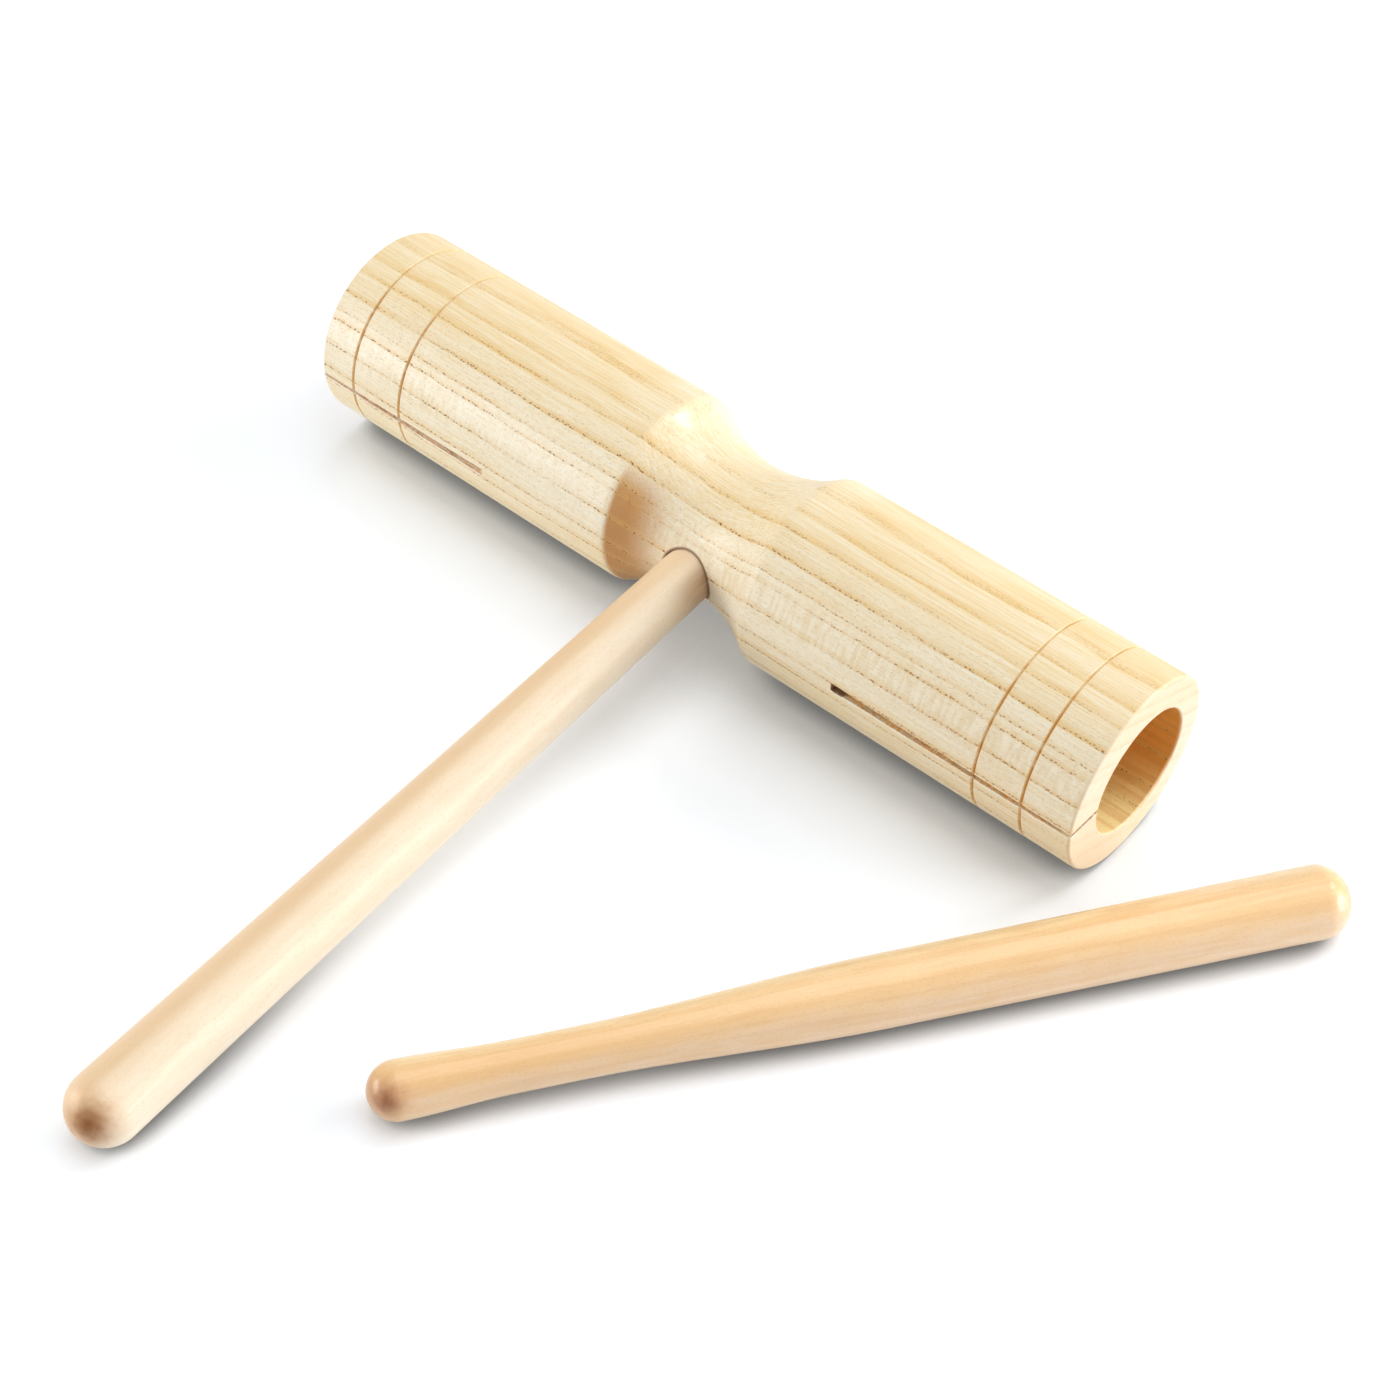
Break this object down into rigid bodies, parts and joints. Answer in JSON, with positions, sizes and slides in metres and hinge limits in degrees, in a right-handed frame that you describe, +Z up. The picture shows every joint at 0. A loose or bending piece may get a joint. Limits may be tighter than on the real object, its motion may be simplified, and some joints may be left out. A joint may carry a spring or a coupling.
{
  "type": "wood block with beater",
  "caption": "Turned wooden percussion block with slotted sound chambers at both ends, a waist that holds a tapered handle, and a loose beater stick lying beside it.",
  "frame": {"origin": "point on the table under the middle of the block, on the line where the block lies on the table", "axes": "+X along the block towards the end with the longer slot, +Y away from the handle's tip, +Z up from the table"},
  "size_m": [0.2458, 0.2035, 0.043],
  "materials": {
    "block_wood": "ring-porous hardwood, turned and sanded, thin satin clear coat",
    "handle_wood": "fine-grained pale hardwood, thin satin clear coat",
    "beater_wood": "fine-grained honey-coloured hardwood, glossy clear coat"
  },
  "bodies": {
    "block": {"tone_block": "block_wood", "handle": "handle_wood"},
    "beater": {"beater": "beater_wood"}
  },
  "joints": [
    {"name": "beater_lift", "type": "slide", "parent": "block", "child": "beater", "axis": [0, 0, 1], "range_m": [0, 0.15]}
  ]
}
